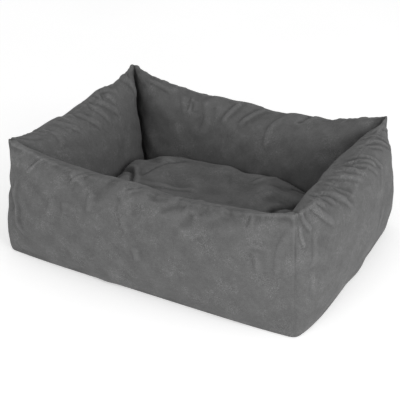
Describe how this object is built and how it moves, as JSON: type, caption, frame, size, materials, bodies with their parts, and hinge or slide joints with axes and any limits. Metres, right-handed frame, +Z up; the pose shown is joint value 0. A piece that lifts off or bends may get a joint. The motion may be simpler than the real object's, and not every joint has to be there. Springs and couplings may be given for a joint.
{
  "type": "pet cushion bed",
  "caption": "Box-shaped fabric pet bed with four padded walls rising to pointed corners round a low lying area, and a loose padded cushion inside.",
  "frame": {"origin": "middle of the underside, on the floor", "axes": "+X along the long side, -Y towards the front wall, +Z up"},
  "size_m": [0.8092, 0.6106, 0.28],
  "materials": {
    "grey_canvas": "brushed, slightly chalky grey canvas",
    "underside_fabric": "dark woven underside with a fine dotted grip coating",
    "polyester_fibre": "lofty white fibre filling in a thin non-woven case",
    "zip_tape": "woven herringbone tape",
    "zip_coil": "satin nylon coil",
    "zip_metal": "dull nickel plating"
  },
  "bodies": {
    "bed_shell": {"base_bottom_panel": "underside_fabric", "base_wadding": "polyester_fibre", "base_top_lining": "grey_canvas", "front_wall_outer_panel": "grey_canvas", "front_wall_inner_panel": "grey_canvas", "front_wall_fibre_fill": "polyester_fibre", "right_wall_outer_panel": "grey_canvas", "right_wall_inner_panel": "grey_canvas", "right_wall_fibre_fill": "polyester_fibre", "back_wall_outer_panel": "grey_canvas", "back_wall_inner_panel": "grey_canvas", "back_wall_fibre_fill": "polyester_fibre", "left_wall_outer_panel": "grey_canvas", "left_wall_inner_panel": "grey_canvas", "left_wall_fibre_fill": "polyester_fibre"},
    "cushion": {"cushion_cover_top": "grey_canvas", "cushion_cover_bottom": "grey_canvas", "cushion_inner_pad": "polyester_fibre", "zip_coil_upper": "zip_coil", "zip_tape_upper": "zip_tape", "zip_coil_lower": "zip_coil", "zip_tape_lower": "zip_tape", "zip_top_stop": "zip_metal", "zip_bottom_stop": "zip_metal"},
    "zip_slider": {"zip_slider": "zip_metal"},
    "zip_pull_tab": {"zip_pull_tab": "zip_metal"}
  },
  "joints": [
    {"name": "cushion_lift", "type": "slide", "parent": "bed_shell", "child": "cushion", "axis": [0, 0, 1], "range_m": [0, 0.35]},
    {"name": "zip_slide", "type": "slide", "parent": "cushion", "child": "zip_slider", "axis": [1, 0, 0], "range_m": [0, 0.399]},
    {"name": "pull_tab_swing", "type": "hinge", "parent": "zip_slider", "child": "zip_pull_tab", "pos_m": [-0.1996, 0.1595, 0.0622], "axis": [0, 0, 1], "range_deg": [0, 180]}
  ]
}
